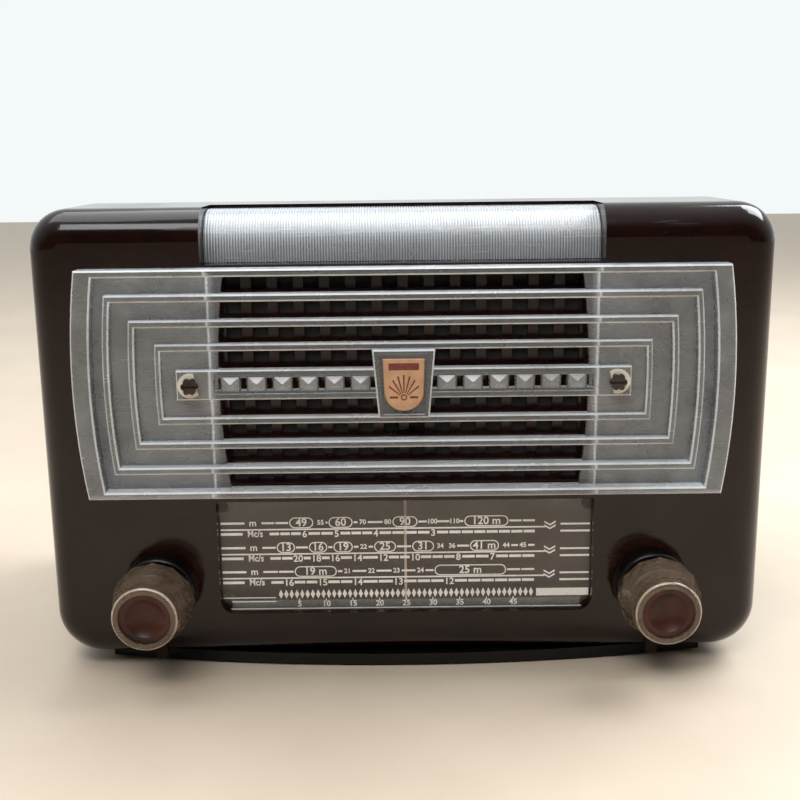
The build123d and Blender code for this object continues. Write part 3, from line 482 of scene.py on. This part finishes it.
class Printing:
    """Thin raised ink in an upright plane, gathered into one mesh. Sizes are in millimetres."""

    THICK = 0.04
    BOLD = 0.07

    def __init__(self, depth_y):
        self.y = depth_y
        self.points = []
        self.faces = []

    def ribbon(self, inner, outer, closed):
        """Ink between two lines of points, with a front, a back and sides."""
        count = len(inner)
        start = len(self.points)
        for y in (self.y, self.y + self.THICK * MM):
            self.points += [(x * MM, y, z * MM) for x, z in inner]
            self.points += [(x * MM, y, z * MM) for x, z in outer]
        ends = range(count if closed else count - 1)
        for i in ends:
            j = (i + 1) % count
            a, b, c, d = start + i, start + j, start + count + j, start + count + i
            e = 2 * count
            self.faces += [(a, b, c, d), (a + e, d + e, c + e, b + e)]
            self.faces += [(a, a + e, b + e, b), (d, c, c + e, d + e)]
        if not closed:
            for i in (0, count - 1):
                a, d = start + i, start + count + i
                self.faces.append((a, d, d + 2 * count, a + 2 * count))

    def bar(self, x0, x1, z0, z1):
        self.ribbon([(x0, z0), (x1, z0)], [(x0, z1), (x1, z1)], False)

    def dashes(self, x0, x1, z, height, dash, gap, free):
        """A broken line that leaves clear the stretches in free."""
        starts = [x0] + [high for low, high in sorted(free)]
        ends = [low for low, high in sorted(free)] + [x1]
        for start, end in zip(starts, ends):
            room = end - start
            if room < SHORTEST_DASH:
                continue
            count = max(1, round((room + gap) / (dash + gap)))
            long = (room + gap) / count
            for i in range(count):
                left = start + i * long
                self.bar(left, left + long - gap, z - height / 2, z + height / 2)

    def diamond(self, x, z, half_width, half_height):
        outline = [(x - half_width, z), (x, z - half_height), (x + half_width, z), (x, z + half_height)]
        start = len(self.points)
        for y in (self.y, self.y + self.THICK * MM):
            self.points += [(px * MM, y, pz * MM) for px, pz in outline]
        front = list(range(start, start + 4))
        self.faces += [tuple(front), tuple(corner + 4 for corner in reversed(front))]
        for first, second in zip(front, front[1:] + front[:1]):
            self.faces.append((first, first + 4, second + 4, second))

    def oval(self, middle, width, z, height, line):
        """A round-ended outline, open inside."""
        radius = height / 2
        flat = width / 2 - radius
        inner = []
        outer = []
        for side in (1, -1):
            for step in range(9):
                angle = math.radians(180 * step / 8 - 90 * side)
                for line_points, r in ((inner, radius - line), (outer, radius)):
                    x = middle + side * flat + r * math.cos(angle)
                    line_points.append((x, z + r * math.sin(angle)))
        self.ribbon(inner, outer, True)

    def stroke(self, line_points, width):
        """A bent line of even height, such as a zigzag."""
        inner = [(x, z - width / 2) for x, z in line_points]
        outer = [(x, z + width / 2) for x, z in line_points]
        self.ribbon(inner, outer, False)

    def words(self, text, x, z, height, squeeze=1.0):
        """Figures from the built-in typeface, centred on a point."""
        curve = bpy.data.curves.new("figures", "FONT")
        curve.body = text
        curve.align_x = "CENTER"
        curve.align_y = "CENTER"
        curve.size = height * MM * 1.42
        curve.resolution_u = 3
        curve.offset = self.BOLD * MM
        curve.extrude = self.THICK * MM / 2
        helper = bpy.data.objects.new("figures", curve)
        mesh = bpy.data.meshes.new_from_object(helper)
        start = len(self.points)
        for vertex in mesh.vertices:
            px, pz, depth = vertex.co
            self.points.append((x * MM + px * squeeze, self.y + self.THICK * MM / 2 - depth, z * MM + pz))
        self.faces += [tuple(start + i for i in face.vertices) for face in mesh.polygons]
        bpy.data.objects.remove(helper)
        bpy.data.curves.remove(curve)
        bpy.data.meshes.remove(mesh)

    def mesh(self, name):
        return mesh_from(name, self.points, self.faces)


# Each band: the height of its wavelength row, its boxed and its small figures, then its frequency row.
BANDS = [
    {
        "z": 59.1,
        "boxed": [("49", -40.5, 9.4), ("60", -25.2, 9.4), ("90", -0.1, 9.8), ("120 m", 31.6, 17.2)],
        "small": [("55", -33.0), ("70", -16.6), ("80", -6.8), ("100", 10.5), ("110", 19.1)],
        "row": [("6", -39.3), ("5", -26.8), ("4", -11.5), ("3", 10.9)],
    },
    {
        "z": 49.0,
        "boxed": [
            ("13", -46.8, 7.2), ("16", -34.2, 7.2), ("19", -24.4, 7.6),
            ("25", -8.0, 8.6), ("31", 6.9, 8.6), ("41 m", 30.9, 11.4),
        ],
        "small": [("22", -16.4), ("34", 13.6), ("36", 18.2), ("44", 39.4), ("45", 46.0)],
        "row": [
            ("20", -42.1), ("18", -35.0), ("16", -27.6), ("14", -18.9),
            ("12", -8.7), ("10", 3.8), ("8", 20.7), ("7", 34.0),
        ],
    },
    {
        "z": 39.0,
        "boxed": [("19 m", -35.4, 16.6), ("25 m", 25.4, 28.2)],
        "small": [("21", -22.9), ("22", -13.5), ("23", -3.6), ("24", 5.8)],
        "row": [("16", -46.0), ("15", -32.7), ("14", -18.9), ("13", -2.9), ("12", 17.1)],
    },
]
ROW_LEFT = -56.0
ROW_RIGHT = 50.5
DIAL_EDGE = 72.0


def print_band(ink, band):
    z = band["z"]
    ink.words("m", -59.4, z, 2.7)
    taken = [(x - width / 2 - 0.4, x + width / 2 + 0.4) for text, x, width in band["boxed"]]
    taken += [(x - 2.0, x + 2.0) for text, x in band["small"]]
    for text, x, width in band["boxed"]:
        ink.oval(x, width, z, 4.4, 0.42)
        ink.words(text, x, z, 3.1)
    for text, x in band["small"]:
        ink.words(text, x, z, 1.9)
    ink.dashes(ROW_LEFT, ROW_RIGHT, z, 0.8, 4.5, 0.5, taken)
    ink.bar(-DIAL_EDGE, -62.6, z - 0.45, z + 0.45)
    ink.bar(-DIAL_EDGE, ROW_RIGHT + 4, z - 2.95, z - 2.35)
    row_z = z - 4.4
    spaces = [(x - 0.8 - 0.7 * len(text), x + 0.8 + 0.7 * len(text)) for text, x in band["row"]]
    for text, x in band["row"]:
        ink.words(text, x, row_z - 0.3, 2.7)
    ink.words("Mc/s", -58.6, row_z, 2.7, 0.85)
    ink.dashes(-53.0, ROW_RIGHT, row_z, 1.1, 4.4, 0.5, spaces)
    ink.bar(-DIAL_EDGE, -63.5, row_z - 0.55, row_z + 0.55)
    ink.bar(60.5, DIAL_EDGE, z - 1.9, z - 1.2)
    ink.bar(60.5, DIAL_EDGE, row_z - 0.4, row_z + 0.4)
    for offset in (0.0, 1.5):
        ink.stroke([(54.2, z - 0.6 - offset), (56.4, z - 1.9 - offset), (58.6, z - 0.6 - offset)], 0.7)


SCALE_Z = 29.6
SCALE_HALF = 50.4
SCALE_PITCH = 2.1
FIRST_MARK = 8.4
MARK_PITCH = 10.55
SHORTEST_DASH = 0.6


def print_scale(ink):
    """The diamond logging scale with figures every fifth of the way, and the bands under it."""
    for tooth in range(round(2 * SCALE_HALF / SCALE_PITCH)):
        ink.diamond(-SCALE_HALF + (tooth + 0.5) * SCALE_PITCH, SCALE_Z, 0.86, 1.9)
    for mark in range(1, 10):
        along = (mark - 1) * MARK_PITCH
        ink.words(str(mark * 5), -SCALE_HALF + FIRST_MARK + along, SCALE_Z - 4.2, 2.3)
        ink.bar(-42.3 + along, -41.9 + along, SCALE_Z - 3.1, SCALE_Z - 1.9)
    ink.bar(-DIAL_EDGE, -SCALE_HALF - 1, SCALE_Z - 1.6, SCALE_Z - 1.2)
    ink.bar(-DIAL_EDGE, -SCALE_HALF - 1, SCALE_Z - 3.2, SCALE_Z - 2.8)
    ink.bar(SCALE_HALF + 1, DIAL_EDGE, SCALE_Z - 1.7, SCALE_Z + 1.4)
    ink.bar(-DIAL_EDGE, DIAL_EDGE, 23.4, 23.8)
    ink.bar(-DIAL_EDGE + 2, DIAL_EDGE - 2, 22.3, 22.8)


def dial_print():
    ink = Printing(GLASS_HIGH[1] + 0.05 * MM)
    for band in BANDS:
        print_band(ink, band)
    print_scale(ink)
    piece("dial_print", ink.mesh("dial_print"), WHITE_INK)
    film = Printing(GLASS_HIGH[1] + 0.15 * MM)
    film.bar(-DIAL_EDGE + 1, DIAL_EDGE - 1, 22.2, 27.2)
    piece("dial_film", film.mesh("dial_film"), FILM)


# ---------------------------------------------------------------- badge

def moved(point, shift, share):
    return (point[0] + shift[0] * share, point[1] + shift[1] * share)


def badge_print():
    """A plain fan of rays over a bar, with a ring at its foot and a band above, in raised ink on the
    copper shield.
    """
    ink = Printing(BADGE_LOW[1] - 0.05 * MM)
    middle = (BADGE_LOW[2] + BADGE_HIGH[2]) / 2 / MM
    base = middle - 4.6
    for ray in range(7):
        angle = math.radians(30 + 20 * ray)
        near = (1.6 * math.cos(angle), base + 1.6 * math.sin(angle))
        far = (6.4 * math.cos(angle), base + 8.4 * math.sin(angle))
        across = (0.34 * math.sin(angle), -0.34 * math.cos(angle))
        left = [moved(near, across, -0.5), moved(far, across, -1.0)]
        right = [moved(near, across, 0.5), moved(far, across, 1.0)]
        ink.ribbon(left, right, False)
    ink.oval(0, 2.4, base, 2.4, 0.5)
    ink.bar(-5.6, 5.6, middle + 5.6, middle + 8.2)
    ink.bar(-5.2, -2.2, base - 0.4, base + 0.4)
    ink.bar(2.2, 5.2, base - 0.4, base + 0.4)
    piece("badge_motif", ink.mesh("badge_motif"), RED_INK)


# ---------------------------------------------------------------- stage

FOCAL = 50.6
SENSOR = 36.0
TILT = math.radians(12.5)
ROLL = math.radians(-0.65)
REACH = 422 * MM
AIM = Vector((-1.5 * MM, FACE_Y, 108.8 * MM))


def camera():
    data = bpy.data.cameras.new("camera")
    data.lens = FOCAL
    data.sensor_width = SENSOR
    data.clip_start = 0.01
    made = bpy.data.objects.new("camera", data)
    bpy.context.scene.collection.objects.link(made)
    away = Vector((0, -math.cos(TILT), math.sin(TILT)))
    turn = Matrix.Rotation(math.pi / 2 - TILT, 4, "X") @ Matrix.Rotation(ROLL, 4, "Z")
    made.matrix_world = Matrix.Translation(AIM + away * REACH) @ turn
    bpy.context.scene.camera = made


def area_light(name, place, target, size, power, colour=(1, 1, 1)):
    data = bpy.data.lights.new(name, "AREA")
    data.shape = "RECTANGLE"
    data.size, data.size_y = size
    data.energy = power
    data.color = colour
    made = bpy.data.objects.new(name, data)
    bpy.context.scene.collection.objects.link(made)
    toward = Vector(target) - Vector(place)
    made.matrix_world = Matrix.Translation(place) @ toward.to_track_quat("-Z", "Y").to_matrix().to_4x4()


# How much looking up counts against looking to the back, and the brightness from front to back.
HEIGHT_SHARE = 0.8
ROOM_SHADES = [(0.0, 0.05), (0.30, 0.08), (0.62, 0.55), (0.9, 0.95)]


def room_light(tree):
    """A pale wall behind and above, falling to a dim room in front."""
    place = tree.nodes.new("ShaderNodeTexCoord")
    split = tree.nodes.new("ShaderNodeSeparateXYZ")
    total = tree.nodes.new("ShaderNodeMath")
    total.operation = "MULTIPLY_ADD"
    total.inputs[1].default_value = HEIGHT_SHARE
    ramp = tree.nodes.new("ShaderNodeValToRGB")
    points = ramp.color_ramp.elements
    while len(points) < len(ROOM_SHADES):
        points.new(0.5)
    for point, (position, shade) in zip(points, ROOM_SHADES):
        point.position = position
        point.color = (shade * 0.95, shade * 0.99, shade, 1)
    shift = tree.nodes.new("ShaderNodeMath")
    shift.operation = "MULTIPLY_ADD"
    shift.inputs[1].default_value = 0.5
    shift.inputs[2].default_value = 0.5
    tree.links.new(place.outputs["Generated"], split.inputs[0])
    tree.links.new(split.outputs["Z"], total.inputs[0])
    tree.links.new(split.outputs["Y"], total.inputs[2])
    tree.links.new(total.outputs[0], shift.inputs[0])
    tree.links.new(shift.outputs[0], ramp.inputs[0])
    tree.links.new(ramp.outputs["Color"], tree.nodes["Background"].inputs["Color"])
    tree.nodes["Background"].inputs["Strength"].default_value = 1.0


def stage():
    paint = Paint("floor_paint")
    grain = paint.noise(9, 5, 0.6)
    paint.colour(paint.ramp(grain, (0.3, (0.52, 0.42, 0.32)), (0.7, (0.58, 0.48, 0.37))))
    paint.rough(paint.ramp(grain, (0.3, 0.45), (0.7, 0.6)))
    half = 3.0
    corners = [(-half, -half, 0), (half, -half, 0), (half, half, 0), (-half, half, 0)]
    floor = bpy.data.objects.new("floor", mesh_from("floor", corners, [(0, 1, 2, 3)]))
    floor.data.materials.append(paint.material)
    bpy.context.scene.collection.objects.link(floor)
    world = bpy.data.worlds.new("studio")
    world.use_nodes = True
    room_light(world.node_tree)
    bpy.context.scene.world = world
    area_light("window_light", (0.75, 0.30, 0.95), (0, 0, 0.1), (0.7, 0.6), 18, (0.88, 0.94, 1.0))
    area_light("top", (-0.35, 0.25, 1.2), (0, 0, 0.1), (1.1, 0.7), 8, (0.93, 0.97, 1.0))
    area_light("front", (-0.2, -0.95, 1.35), (0, 0, 0.1), (0.9, 0.5), 12, (0.98, 0.99, 1.0))
    bpy.context.scene.view_settings.view_transform = "Standard"


camera()
stage()
finish_nodes()
reeded_window()
dial_print()
badge_print()
